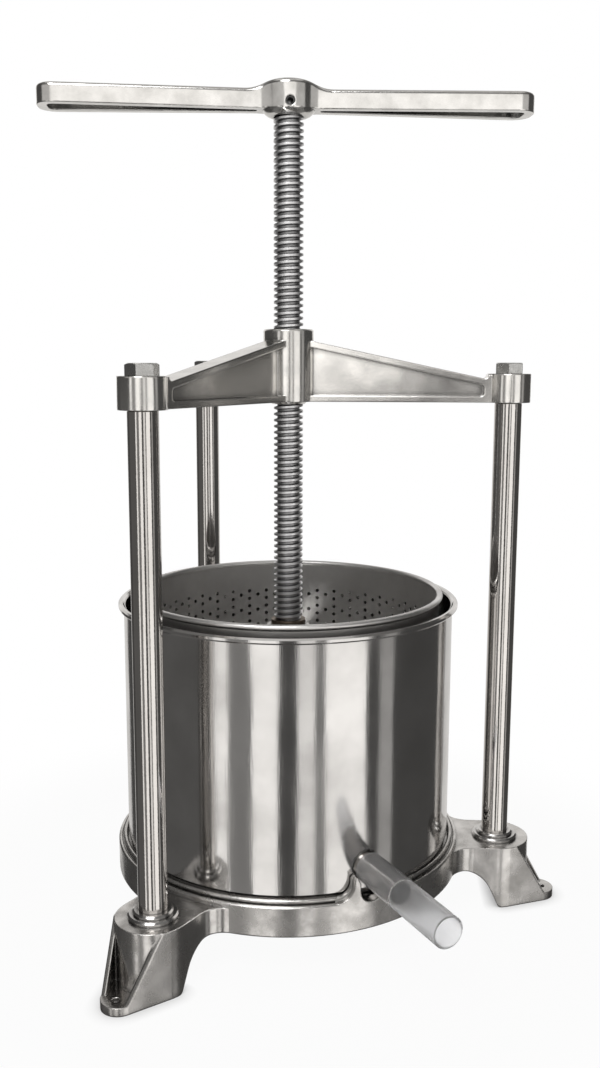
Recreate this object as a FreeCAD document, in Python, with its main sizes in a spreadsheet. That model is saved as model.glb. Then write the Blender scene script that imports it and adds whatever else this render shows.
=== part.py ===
import FreeCAD, Part
import math
import os
import re

import Sketcher

os.makedirs("parts", exist_ok=True)
doc = FreeCAD.newDocument("fruit_press")

# Driving sizes in millimetres and degrees
SIZES = {
    # base casting
    "ring_bottom": 33.0, "ring_height": 24.0, "ring_land": 2.7, "skirt_wall": 7.0,
    "lip_rise": 3.2, "lip_width": 3.2, "groove_width": 1.6, "groove_depth": 1.4, "lip_chamfer": 1.0,
    "edge_chamfer": 1.2,
    "seat_drop": 2.0, "seat_gap": 1.0, "tray_thick": 7.0, "tray_rib_thick": 6.0, "tray_rib_rise": 4.0,
    # legs and feet
    "leg_drop": 4.0, "leg_boss_radius": 28.5, "neck_round": 20.0, "neck_bite": 0.1, "leg_wall": 7.0,
    "arch_shift": 2.0, "arch_round": 28.0, "arch_lean": 25.0, "toe_round": 5.0, "toe_bite": 0.2,
    "pad_thick": 6.5, "pad_run": 38.0, "pad_round": 14.0, "foot_hole_run": 42.0, "foot_hole_radius": 3.0,
    "gusset_thick": 3.5, "gusset_start_run": 17.0, "gusset_end_run": 43.0,
    # spout notch
    "notch_half": 9.8, "notch_depth": 2.8, "notch_gap": 0.5,
    "horn_wall": 2.2, "horn_step": 0.6, "horn_round": 10.5, "horn_drop": 3.5,
    # columns, their collars and their bolts
    "column_free": 372.5, "column_radius": 11.0, "socket_depth": 30.0, "column_chamfer": 1.0,
    "collar_gap": 14.0, "collar_radius": 19.0, "collar_step": 3.3, "collar_neck_radius": 15.2,
    "collar_height": 6.0, "collar_fit": 0.1, "collar_edge": 1.2,
    "bolt_radius": 7.0, "bolt_flats": 21.0, "bolt_head": 8.8, "bolt_grip": 25.0, "bolt_gap": 0.25,
    "bolt_runout": 6.0, "drill_point": 31.0, "bolt_chamfer": 30.0, "bolt_crown": 0.475, "bolt_turn": -8.5,
    # yoke
    "yoke_boss_radius": 17.5, "yoke_boss_height": 23.0, "yoke_hub_radius": 20.5,
    "yoke_hub_height": 58.0, "yoke_spigot_radius": 15.5, "yoke_spigot": 2.0, "yoke_spigot_taper": 2.0,
    "arm_width": 19.0, "arm_web": 6.0, "arm_flange": 5.0, "arm_root_height": 48.5, "arm_tip_height": 19.2,
    "arm_tip_round": 3.0, "arm_lap": 5.0, "arm_pocket_round": 3.0, "arm_end_wall": 3.0,
    # screw and handle
    "screw_radius": 12.0, "screw_fit": 0.05, "screw_chamfer": 2.0, "screw_above": 164.0,
    "shank_radius": 10.0, "shank_fit": 0.05, "shank_drop": 4.0,
    "hub_drop": 5.0, "handle_height": 15.0, "handle_half": 195.0, "handle_hub_height": 28.0,
    "handle_hub_radius": 20.5, "hub_foot": 12.5, "hub_wall": 0.5, "cast_extra": 1.0,
    "grip_half": 9.0, "grip_spread": 0.0525, "grip_end_round": 14.0, "grip_bar": 7.5, "grip_root": 38.0,
    "slot_root": 25.0, "crown_flat": 6.0, "crown_reach": 36.0, "handle_blend": 18.0, "grip_edge": 3.0,
    "pin_radius": 3.75, "pin_bore": 2.4, "pin_rise": 9.0, "pin_recess": 1.2, "handle_angle": -22.5,
    # pressure plate and what holds the screw in it
    "plate_rise": 133.0, "plate_gap": 4.5, "plate_thick": 8.0, "plate_rim": 5.0, "plate_rim_wall": 6.0,
    "plate_hub_radius": 19.0, "plate_hub_height": 50.0, "plate_rib": 6.0, "plate_rib_rise": 35.0,
    "journal_radius": 8.0, "journal_fit": 0.05, "thrust_radius": 14.5, "thrust_thick": 4.6,
    "recess_radius": 16.0, "recess_depth": 13.0, "retainer_radius": 13.0, "retainer_thick": 3.0,
    "retainer_flats": 17.0, "retainer_head": 6.4, "retainer_shank": 5.0, "retainer_grip": 20.0,
    "retainer_runout": 4.0, "retainer_gap": 0.25, "end_play": 0.3,
    # bucket and basket
    "bucket_radius": 137.5, "bucket_wall": 1.2, "bucket_corner": 7.0, "bucket_height": 204.3,
    "bucket_bead": 2.4, "bucket_bead_reach": 2.0,
    "juice_gap": 11.0, "basket_wall": 1.0, "basket_rise": 6.7, "basket_bead": 2.6,
    "basket_bead_reach": 0.4, "basket_foot": 5.0,
    # spout
    "spout_radius": 10.5, "spout_wall": 1.5, "spout_rise": 24.0, "spout_length": 48.5,
    "weld_radius": 11.9, "weld_half": 2.4, "weld_thin": 0.1,
    "sleeve_wall": 1.7, "sleeve_fit": 0.05, "sleeve_clear": 2.7, "sleeve_length": 105.8,
    "sleeve_draw": 0.3, "sleeve_draw_run": 3.0, "sleeve_draw_gap": 0.3,
}

# Heights stack up from the table and radii go out from the bucket, so these are worked out
WORKED_OUT = {
    "ring_top": "ring_bottom + ring_height",
    "lip_top": "ring_top + lip_rise",
    "seat_height": "ring_top - seat_drop",
    "leg_top": "ring_top - leg_drop",
    "tray_rib_bottom": "ring_bottom + tray_rib_rise",
    "spout_height": "seat_height + spout_rise",
    "horn_top": "spout_height - horn_drop",
    "plate_bottom": "seat_height + plate_rise",
    "bucket_rim_height": "seat_height + bucket_height",
    "basket_rim_height": "bucket_rim_height + basket_rise",
    "yoke_bottom": "leg_top + column_free",
    "handle_hub_bottom": "yoke_bottom + yoke_hub_height + screw_above",
    "handle_bottom": "handle_hub_bottom + hub_drop",
    "pin_height": "handle_hub_bottom + pin_rise",
    "basket_radius": "bucket_radius - juice_gap",
    "plate_radius": "basket_radius - plate_gap",
    "ring_radius": "bucket_radius + seat_gap + lip_width + groove_width + ring_land",
    "column_reach": "ring_radius + collar_gap + collar_radius",
    "arch_centre": "ring_radius + arch_shift",
    "pad_reach": "column_reach + pad_run",
    "foot_hole_reach": "column_reach + foot_hole_run",
    "gusset_start": "column_reach + gusset_start_run",
    "gusset_end": "column_reach + gusset_end_run",
    "spout_reach": "bucket_radius + spout_length",
    "weld_start": "bucket_radius - weld_half",
    "weld_end": "bucket_radius + weld_half",
    "sleeve_start": "bucket_radius + sleeve_clear",
    "sleeve_end": "sleeve_start + sleeve_length",
}
NAMES = {**SIZES, **{word: "=" + formula for word, formula in WORKED_OUT.items()}}

sheet = doc.addObject("Spreadsheet::Sheet", "sizes")
for row, (word, entry) in enumerate(NAMES.items(), start=1):
    sheet.set(f"A{row}", word)
    sheet.setAlias(f"B{row}", word)
for row, entry in enumerate(NAMES.values(), start=1):
    sheet.set(f"B{row}", str(entry))
doc.recompute()

# The three legs, columns and yoke arms stand at these angles; the spout points along -Y.
BACK, LEFT, RIGHT = 90.0, 210.0, 330.0


def bound(formula):
    """A formula of size names as the sheet spells it."""
    return re.sub(r"[a-z_]+", lambda word: "sizes." + word[0] if word[0] in NAMES else word[0], formula)


def value(formula):
    """The number that a formula of size names comes to."""
    return float(sheet.evalExpression(bound(formula)))


def tie(thing, **formulas):
    """Bind properties of an object to formulas of size names."""
    for name, formula in formulas.items():
        thing.setExpression(name, bound(formula))


def new_body(name):
    body = doc.addObject("PartDesign::Body", name)
    body.Label = name
    return body


def new_sketch(body, name, plane, offset=None):
    """A sketch on one of the body's own planes, moved along that plane's normal."""
    sketch = body.newObject("Sketcher::SketchObject", name)
    support = [item for item in body.Origin.OriginFeatures if item.Role == plane][0]
    sketch.AttachmentSupport = [(support, "")]
    sketch.MapMode = "FlatFace"
    if offset:
        sketch.setExpression("AttachmentOffset.Base.z", bound(offset))
    return sketch


def fix(sketch, piece, end, corner):
    """Hold one end of a sketch line or arc at a corner given by two formulas."""
    for kind, formula in zip(("DistanceX", "DistanceY"), corner):
        number = sketch.addConstraint(Sketcher.Constraint(kind, -1, 1, piece, end, value(formula)))
        sketch.setExpression(f"Constraints[{number}]", bound(formula))


def outline(sketch, corners, arcs=None):
    """Close a chain of sides through the corners. A side named in arcs is an arc: its number is that
    of the corner it starts from, and it gives the centre and whether it turns left."""
    arcs = arcs or {}
    spots = [FreeCAD.Vector(value(x), value(y), 0) for x, y in corners]
    ends = []
    for number, start in enumerate(spots):
        finish = spots[(number + 1) % len(spots)]
        if number in arcs:
            middle_corner, left = arcs[number]
            ends.append(arc(sketch, start, finish, middle_corner, left))
        else:
            ends.append((sketch.addGeometry(Part.LineSegment(start, finish), False), 1, 2))
    for number, (piece, begin, _) in enumerate(ends):
        before, _, close = ends[number - 1]
        sketch.addConstraint(Sketcher.Constraint("Coincident", before, close, piece, begin))
        fix(sketch, piece, begin, corners[number])


def arc(sketch, start, finish, middle_corner, left):
    """An arc between two spots. Its ends are held elsewhere, so one coordinate of its centre is enough."""
    centre = FreeCAD.Vector(value(middle_corner[0]), value(middle_corner[1]), 0)
    first, last = (start, finish) if left else (finish, start)
    angles = [math.atan2(spot.y - centre.y, spot.x - centre.x) for spot in (first, last)]
    ring = Part.Circle(centre, FreeCAD.Vector(0, 0, 1), centre.distanceToPoint(start))
    piece = sketch.addGeometry(Part.ArcOfCircle(ring, angles[0], angles[1]), False)
    chord = finish - start
    kind, formula = ("X", middle_corner[0]) if abs(chord.y) > abs(chord.x) else ("Y", middle_corner[1])
    number = sketch.addConstraint(Sketcher.Constraint("Distance" + kind, -1, 1, piece, 3, value(formula)))
    sketch.setExpression(f"Constraints[{number}]", bound(formula))
    return (piece, 1, 2) if left else (piece, 2, 1)


def circle(sketch, radius, centre=("0", "0")):
    middle = FreeCAD.Vector(value(centre[0]), value(centre[1]), 0)
    piece = sketch.addGeometry(Part.Circle(middle, FreeCAD.Vector(0, 0, 1), value(radius)), False)
    fix(sketch, piece, 3, centre)
    size = sketch.addConstraint(Sketcher.Constraint("Radius", piece, value(radius)))
    sketch.setExpression(f"Constraints[{size}]", bound(radius))


def feature(body, kind, name, sketch, **formulas):
    """A sketch-based feature with its sizes tied to formulas."""
    made = body.newObject("PartDesign::" + kind, name)
    made.Profile = sketch
    sketch.Visibility = False
    tie(made, **formulas)
    return made


def turned(body, kind, name, sketch):
    """A full turn of a profile about the sketch's own vertical axis."""
    made = feature(body, kind, name, sketch)
    made.ReferenceAxis = (sketch, ["V_Axis"])
    made.Angle = 360
    return made


def around(body, name, originals, copies=3):
    """Copies of features about the body's Z axis."""
    pattern = body.newObject("PartDesign::PolarPattern", name)
    pattern.Originals = originals
    axis = [item for item in body.Origin.OriginFeatures if item.Role == "Z_Axis"][0]
    pattern.Axis = (axis, [""])
    pattern.Angle = 360
    pattern.Occurrences = copies
    body.Tip = pattern
    return pattern


def dress(body, kind, name, base, chosen, size):
    """A fillet or chamfer on the edges of a feature that a test picks out."""
    doc.recompute()
    edges = [f"Edge{number}" for number, edge in enumerate(base.Shape.Edges, start=1) if chosen(edge)]
    made = body.newObject("PartDesign::" + kind, name)
    made.Base = (base, edges)
    tie(made, **{"Radius" if kind == "Fillet" else "Size": size})
    body.Tip = made
    return made


def middle(edge):
    return edge.valueAt((edge.FirstParameter + edge.LastParameter) / 2)


def upright(edge):
    """Whether an edge is a straight vertical line."""
    return edge.Curve.TypeId == "Part::GeomLine" and abs(edge.Curve.Direction.z) > 0.999


def off_axis(edge):
    return math.hypot(middle(edge).x, middle(edge).y)


def near(first, second):
    return abs(first - second) < 0.01


def primitive(kind, name, **formulas):
    """A Part primitive with its sizes tied to formulas."""
    made = doc.addObject("Part::" + kind, name)
    tie(made, **formulas)
    return made


def cut(name, base, tool):
    made = doc.addObject("Part::Cut", name)
    made.Base = base
    made.Tool = tool
    made.Label = name
    return made


def join(name, pieces):
    made = doc.addObject("Part::MultiFuse", name)
    made.Shapes = pieces
    made.Label = name
    return made


def raise_to(thing, height):
    thing.setExpression("Placement.Base.z", bound(height))
    return thing


def stand_at(thing, angle, reach="column_reach"):
    """Carry a piece out from the middle to a leg's angle."""
    thing.setExpression("Placement.Base.x", bound(f"{reach} * cos({angle} deg)"))
    thing.setExpression("Placement.Base.y", bound(f"{reach} * sin({angle} deg)"))
    return thing


# Base: a turned ring with a tray, raised horns beside the spout, and three cast legs
def base_casting():
    body = new_body("base_casting")
    seat = "(bucket_radius + seat_gap)"
    sleeve_half = "(spout_radius + sleeve_fit + sleeve_wall + notch_gap)"
    add_ring(body, seat, sleeve_half)
    leg = add_foot(body) + add_leg(body)
    around(body, "legs_and_ribs", leg + [tray_rib(body)])
    spout_notch(body, seat, sleeve_half)
    return body


def spout_notch(body, seat, sleeve_half):
    """A round-bottomed slot through the ring, which widens above to clear the sleeve on the spout."""
    low = "(ring_top - notch_depth + notch_half)"
    turn = f"(spout_height - sqrt({sleeve_half} ^ 2 - notch_half ^ 2))"
    gap = new_sketch(body, "notch_outline", "XZ_Plane", f"{seat} - lip_width")
    outline(
        gap,
        [
            ("-notch_half", low), ("notch_half", low), ("notch_half", turn), (sleeve_half, "spout_height"),
            (sleeve_half, "horn_top * 2"), (f"-{sleeve_half}", "horn_top * 2"),
            (f"-{sleeve_half}", "spout_height"), ("-notch_half", turn),
        ],
        {
            0: (("0", low), True),
            2: (("0", "spout_height"), True),
            6: (("0", "spout_height"), True),
        },
    )
    past_ring = "ring_radius - seat_gap - bucket_radius + 10"
    slot_cut = feature(body, "Pocket", "spout_notch", gap, Length=past_ring)
    slot_cut.Reversed = True
    body.Tip = slot_cut


def horn_block(body, name, sleeve_half, level, sweep, inset):
    """A block that sweeps up from a level to the two horns beside the spout."""
    side = f"({sleeve_half} + horn_wall - {inset})"
    foot = f"({side} + {sweep})"
    under = "(seat_height - tray_thick / 2)"
    shoulder = f"({level} + {sweep})"
    peak = "(horn_top - horn_wall)"
    top = f"(horn_top - {inset})"
    sketch = new_sketch(body, name + "_outline", "XZ_Plane", "ring_radius - skirt_wall * 2")
    outline(
        sketch,
        [
            (f"-{foot}", under), (foot, under), (foot, level), (side, shoulder), (side, peak),
            (sleeve_half, top), (f"-{sleeve_half}", top), (f"-{side}", peak),
            (f"-{side}", shoulder), (f"-{foot}", level),
        ],
        {
            2: ((foot, shoulder), False),
            8: ((f"-{foot}", shoulder), False),
        },
    )
    feature(body, "Pad", name, sketch, Length="skirt_wall * 3")


def turn_away(body, name, radius):
    """Turn off whatever stands out past a radius."""
    section = new_sketch(body, name + "_section", "XZ_Plane")
    beyond = "ring_radius + skirt_wall * 3"
    outline(section, [(radius, "0"), (beyond, "0"), (beyond, "horn_top * 2"), (radius, "horn_top * 2")])
    turned(body, "Groove", name, section)


def add_ring(body, seat, sleeve_half):
    """The horns first, then the turned ring, and the turning cuts that trim them."""
    lip_outer = f"({seat} + lip_width)"
    horn_block(body, "lip_horns", sleeve_half, "lip_top", "horn_round", "0")
    turn_away(body, "lip_turning", lip_outer)
    horn_block(body, "ring_horns", sleeve_half, "ring_top", "(horn_round + lip_rise)", "horn_step")

    section = new_sketch(body, "ring_section", "XZ_Plane")
    groove_outer = f"({lip_outer} + groove_width)"
    tray_under = "(seat_height - tray_thick)"
    outline(
        section,
        [
            ("0", tray_under), ("ring_radius - skirt_wall", tray_under),
            ("ring_radius - skirt_wall", "ring_bottom"), ("ring_radius", "ring_bottom"),
            ("ring_radius", "ring_top - edge_chamfer"), ("ring_radius - edge_chamfer", "ring_top"),
            (groove_outer, "ring_top"), (groove_outer, "ring_top - groove_depth"),
            (lip_outer, "ring_top - groove_depth"), (lip_outer, "lip_top - lip_chamfer"),
            (f"{lip_outer} - lip_chamfer", "lip_top"), (f"{seat} + lip_chamfer", "lip_top"),
            (seat, "lip_top - lip_chamfer"), (seat, "seat_height"), ("0", "seat_height"),
        ],
    )
    turned(body, "Revolution", "ring_and_tray", section)

    bore = new_sketch(body, "seat_section", "XZ_Plane")
    above = "horn_top * 2"
    outline(bore, [("0", "seat_height"), (seat, "seat_height"), (seat, above), ("0", above)])
    turned(body, "Groove", "bucket_seat", bore)
    turn_away(body, "rim_turning", "ring_radius")


def add_foot(body):
    """A tapering pad with a screw hole and two gussets that run up to the column boss."""
    taper = "asin((leg_boss_radius - pad_round) / (pad_reach - column_reach))"
    wide = (f"(leg_boss_radius * cos({taper}))", f"(column_reach + leg_boss_radius * sin({taper}))")
    tip = (f"(pad_round * cos({taper}))", f"(pad_reach + pad_round * sin({taper}))")
    plan = new_sketch(body, "foot_plan", "XY_Plane")
    outline(
        plan,
        [
            (f"-{wide[0]}", "column_reach"), (wide[0], "column_reach"), wide,
            tip, (f"-{tip[0]}", tip[1]), (f"-{wide[0]}", wide[1]),
        ],
        {3: (("0", "pad_reach"), True)},
    )
    foot = feature(body, "Pad", "foot", plan, Length="leg_top")

    inset = f"(gusset_thick / cos({taper}))"
    past_tip = "(pad_reach + pad_round * 2)"
    inner_wide = f"({wide[0]} - {inset})"
    inner_tip = f"({tip[0]} - {inset})"
    hollow = new_sketch(body, "gusset_plan", "XY_Plane", "pad_thick")
    outline(
        hollow,
        [
            (f"-{inner_wide}", "column_reach"), (inner_wide, "column_reach"), (inner_wide, wide[1]),
            (inner_tip, tip[1]), (inner_tip, past_tip), (f"-{inner_tip}", past_tip),
            (f"-{inner_tip}", tip[1]), (f"-{inner_wide}", wide[1]),
        ],
    )
    recess = feature(body, "Pocket", "gusset_recess", hollow, Length="leg_top")
    recess.Reversed = True
    slope = new_sketch(body, "gusset_slope", "YZ_Plane")
    outline(
        slope,
        [
            ("gusset_start", "leg_top"), ("gusset_end", "pad_thick"), (past_tip, "pad_thick"),
            (past_tip, "leg_top * 2"), ("gusset_start", "leg_top * 2"),
        ],
    )
    gusset = feature(body, "Pocket", "gusset_taper", slope, Length="leg_boss_radius * 4")
    gusset.Midplane = True
    hole = new_sketch(body, "foot_hole_place", "XY_Plane")
    circle(hole, "foot_hole_radius", ("0", "foot_hole_reach"))
    foot_hole = feature(body, "Pocket", "foot_hole", hole, Length="pad_thick * 2")
    foot_hole.Reversed = True
    return [foot, recess, gusset, foot_hole]


def add_leg(body):
    """The column boss and the hollow neck that blends into the ring over an arch."""
    root = "(ring_radius - neck_bite)"
    blend = f"({root} + neck_round)"
    side = "(leg_boss_radius + neck_round)"
    neck = f"sqrt({blend} ^ 2 - {side} ^ 2)"
    touch = (f"({side} * {root} / {blend})", f"({neck} * {root} / {blend})")
    plate = new_sketch(body, "leg_plan", "XY_Plane")
    outline(
        plate,
        [
            (f"-{touch[0]}", touch[1]), touch, ("leg_boss_radius", neck), ("leg_boss_radius", "column_reach"),
            ("-leg_boss_radius", "column_reach"), ("-leg_boss_radius", neck),
        ],
        {
            1: ((side, neck), False),
            3: (("0", "column_reach"), True),
            5: ((f"-{side}", neck), False),
        },
    )
    leg = feature(body, "Pad", "leg", plate, Length="leg_top")

    turn_y = "(arch_centre + arch_round * cos(arch_lean * 1 deg))"
    turn_z = "(ring_bottom - arch_round + arch_round * sin(arch_lean * 1 deg))"
    inside = "(ring_radius - leg_boss_radius)"
    toe_z = "(toe_round - toe_bite)"
    reach = f"(toe_round - {toe_z} * sin(arch_lean * 1 deg)) / cos(arch_lean * 1 deg)"
    toe_y = f"({turn_y} + {turn_z} * tan(arch_lean * 1 deg) + {reach})"
    lean_y = f"({toe_y} - toe_round * cos(arch_lean * 1 deg))"
    lean_z = f"({toe_z} - toe_round * sin(arch_lean * 1 deg))"
    under = new_sketch(body, "arch_section", "YZ_Plane")
    outline(
        under,
        [
            (inside, "-pad_thick"), (toe_y, "-pad_thick"), (toe_y, "-toe_bite"), (lean_y, lean_z),
            (turn_y, turn_z), ("arch_centre", "ring_bottom"), (inside, "ring_bottom"),
        ],
        {
            2: ((toe_y, toe_z), False),
            4: (("arch_centre", "ring_bottom - arch_round"), True),
        },
    )
    arch = feature(body, "Pocket", "arch", under, Length="leg_boss_radius * 4")
    arch.Midplane = True

    core = new_sketch(body, "neck_core_plan", "XY_Plane")
    width = "(leg_boss_radius - leg_wall)"
    end = "(column_reach - column_radius - leg_wall)"
    outline(core, [(f"-{width}", "ring_radius"), (width, "ring_radius"), (width, end), (f"-{width}", end)])
    hollow = feature(body, "Pocket", "neck_hollow", core, Length="leg_top - leg_wall")
    hollow.Reversed = True

    socket = new_sketch(body, "socket_place", "XY_Plane", "leg_top - socket_depth")
    circle(socket, "column_radius", ("0", "column_reach"))
    column_socket = feature(body, "Pocket", "column_socket", socket, Length="socket_depth * 2")
    column_socket.Reversed = True
    return [leg, arch, hollow, column_socket]


def tray_rib(body):
    """One bar across the underside of the tray; three of them make six spokes."""
    bar = new_sketch(body, "tray_rib_plan", "XY_Plane", "tray_rib_bottom")
    span = "(ring_radius - skirt_wall / 2)"
    half = "(tray_rib_thick / 2)"
    outline(bar, [(f"-{half}", f"-{span}"), (half, f"-{span}"), (half, span), (f"-{half}", span)])
    return feature(body, "Pad", "tray_rib", bar, Length="seat_height - tray_thick / 2 - tray_rib_bottom")


# Columns: plain bars that stand in the base and carry the yoke on their upper ends
def column(name, angle):
    body = new_body(name)
    section = new_sketch(body, name + "_section", "XZ_Plane")
    top = "(yoke_bottom - leg_top + socket_depth)"
    drilled = f"({top} - bolt_grip - bolt_runout)"
    outline(
        section,
        [
            ("0", "0"), ("column_radius - column_chamfer", "0"), ("column_radius", "column_chamfer"),
            ("column_radius", f"{top} - column_chamfer"), ("column_radius - column_chamfer", top),
            ("bolt_radius", top), ("bolt_radius", drilled),
            ("0", f"{drilled} - bolt_radius * tan(drill_point * 1 deg)"),
        ],
    )
    turned(body, "Revolution", name + "_bar", section)
    stand_at(body, angle)
    return raise_to(body, "leg_top - socket_depth")


def collar(name, angle):
    """The turned two-step ring round the foot of a column."""
    body = new_body(name)
    section = new_sketch(body, name + "_section", "XZ_Plane")
    bore = "(column_radius + collar_fit)"
    outline(
        section,
        [
            (bore, "0"), ("collar_radius", "0"), ("collar_radius", "collar_step - collar_edge"),
            ("collar_radius - collar_edge", "collar_step"), ("collar_neck_radius", "collar_step"),
            ("collar_neck_radius", "collar_height - collar_edge"),
            ("collar_neck_radius - collar_edge", "collar_height"), (bore, "collar_height"),
        ],
    )
    turned(body, "Revolution", name + "_ring", section)
    stand_at(body, angle)
    return raise_to(body, "leg_top")


def hex_bolt(name, flats, head, radius, shank):
    """A hex bolt on its own axis: the head stands on z = 0 and the shank hangs below."""
    prism = primitive("Prism", name + "_hexagon", Circumradius=f"{flats} / sqrt(3)", Height=head)
    prism.Polygon = 6
    crown = primitive(
        "Cone", name + "_crown", Radius2=f"{flats} * bolt_crown", Height=head,
        Radius1=f"{flats} * bolt_crown + {head} / tan(bolt_chamfer * 1 deg)",
    )
    crowned = doc.addObject("Part::Common", name + "_head")
    crowned.Base = prism
    crowned.Tool = crown
    rod = primitive("Cylinder", name + "_rod", Radius=radius, Height=shank)
    rod.setExpression("Placement.Base.z", bound(f"-({shank})"))
    return join(name, [crowned, rod])


def top_bolt(name, angle):
    bolt = hex_bolt(name, "bolt_flats", "bolt_head", "bolt_radius", "yoke_boss_height + bolt_grip")
    tie(bolt, **{"Placement.Rotation.Angle": "bolt_turn * 1 deg"})
    stand_at(bolt, angle)
    return raise_to(bolt, "yoke_bottom + yoke_boss_height")


# Yoke: a hub and three arms of I section that slope down to the column bosses
def yoke():
    body = new_body("yoke")
    tip_top = "(yoke_bottom + arm_tip_height)"
    root_top = "(yoke_bottom + arm_root_height)"
    boss_inner = "(column_reach - yoke_boss_radius)"
    slope_end = f"({boss_inner} - arm_tip_round)"
    step = f"({tip_top} + arm_tip_round)"
    side = new_sketch(body, "arm_side", "YZ_Plane")
    outline(
        side,
        [
            ("0", "yoke_bottom"), (f"{boss_inner} + arm_lap", "yoke_bottom"),
            (f"{boss_inner} + arm_lap", step),
            (boss_inner, step), (slope_end, tip_top), ("yoke_hub_radius", root_top), ("0", root_top),
        ],
        {3: ((slope_end, step), False)},
    )
    arm = feature(body, "Pad", "arm", side, Length="arm_width")
    arm.Midplane = True
    hollows = arm_hollows(body, tip_top, root_top, slope_end)

    plan = new_sketch(body, "boss_plan", "XY_Plane", "yoke_bottom")
    circle(plan, "yoke_boss_radius", ("0", "column_reach"))
    boss = feature(body, "Pad", "column_boss", plan, Length="yoke_boss_height")
    drill = new_sketch(body, "bolt_hole_plan", "XY_Plane", "yoke_bottom")
    circle(drill, "bolt_radius + bolt_gap", ("0", "column_reach"))
    hole = feature(body, "Pocket", "bolt_hole", drill, Length="yoke_hub_height")
    hole.Reversed = True
    around(body, "arms", [arm] + hollows + [boss, hole])

    section = new_sketch(body, "hub_section", "XZ_Plane")
    hub_top = "(yoke_bottom + yoke_hub_height)"
    spigot = "(yoke_bottom - yoke_spigot)"
    outline(
        section,
        [
            ("0", spigot), ("yoke_spigot_radius - yoke_spigot_taper", spigot),
            ("yoke_spigot_radius", "yoke_bottom"), ("yoke_hub_radius", "yoke_bottom"),
            ("yoke_hub_radius", f"{hub_top} - edge_chamfer"),
            ("yoke_hub_radius - edge_chamfer", hub_top), ("0", hub_top),
        ],
    )
    turned(body, "Revolution", "hub", section)
    thread = new_sketch(body, "nut_bore_plan", "XY_Plane", "yoke_bottom - yoke_spigot * 2")
    circle(thread, "screw_radius + screw_fit")
    nut = feature(body, "Pocket", "nut_bore", thread, Length="yoke_hub_height * 2")
    nut.Reversed = True
    body.Tip = nut
    return body


def arm_hollows(body, tip_top, root_top, slope_end):
    """The hollows on both sides of the web, which stop short of the column boss."""
    fall = f"(({root_top} - {tip_top}) / ({slope_end} - yoke_hub_radius))"
    slope = f"atan({fall})"
    corner = "arm_pocket_round"
    start = "(yoke_hub_radius / 2)"
    end = f"({slope_end} + arm_tip_round - arm_end_wall)"
    low = "(yoke_bottom + arm_flange)"
    drop = f"(arm_flange / cos({slope}))"
    start_top = f"({root_top} + {fall} * (yoke_hub_radius - {start}) - {drop})"
    centre_y = f"({end} - {corner})"
    centre_z = f"({tip_top} + {fall} * ({slope_end} - {centre_y}) - (arm_flange + {corner}) / cos({slope}))"
    turn_y = f"({centre_y} + {corner} * sin({slope}))"
    turn_z = f"({centre_z} + {corner} * cos({slope}))"
    made = []
    for word, plane, outward in (("near", "arm_web / 2", True), ("far", "-arm_web / 2", False)):
        sketch = new_sketch(body, word + "_hollow_side", "YZ_Plane", plane)
        outline(
            sketch,
            [
                (start, low), (centre_y, low), (end, f"{low} + {corner}"),
                (end, centre_z), (turn_y, turn_z), (start, start_top),
            ],
            {
                1: ((centre_y, f"{low} + {corner}"), True),
                3: ((centre_y, centre_z), True),
            },
        )
        hollow = feature(body, "Pocket", word + "_hollow", sketch, Length="arm_width")
        hollow.Reversed = outward
        made.append(hollow)
    return made


# Screw: threaded over its length, with a shank in the handle and a journal in the plate
def screw():
    body = new_body("screw")
    foot = "(plate_bottom + plate_hub_height + thrust_thick)"
    tail = "(plate_bottom + recess_depth - end_play)"
    drilled = f"({tail} + retainer_grip + retainer_runout)"
    end = "(handle_hub_bottom + handle_hub_height - shank_drop)"
    section = new_sketch(body, "screw_section", "XZ_Plane")
    outline(
        section,
        [
            ("retainer_shank", tail), ("journal_radius", tail), ("journal_radius", foot),
            ("screw_radius - screw_chamfer", foot), ("screw_radius", f"{foot} + screw_chamfer"),
            ("screw_radius", "handle_hub_bottom"), ("shank_radius", "handle_hub_bottom"),
            ("shank_radius", end), ("0", end), ("0", drilled), ("retainer_shank", drilled),
        ],
    )
    turned(body, "Revolution", "screw_bar", section)
    body.Tip = pin_bore(body)
    return face_handle(body)


def pin_bore(body):
    """The hole for the cross pin, square to the handle's long axis."""
    place = new_sketch(body, body.Label + "_pin_place", "XZ_Plane")
    circle(place, "pin_radius", ("0", "pin_height"))
    bore = feature(body, "Pocket", body.Label + "_pin_bore", place, Length="handle_hub_radius * 4")
    bore.Midplane = True
    return bore


def face_handle(thing):
    tie(thing, **{"Placement.Rotation.Angle": "handle_angle * 1 deg"})
    return thing


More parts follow.
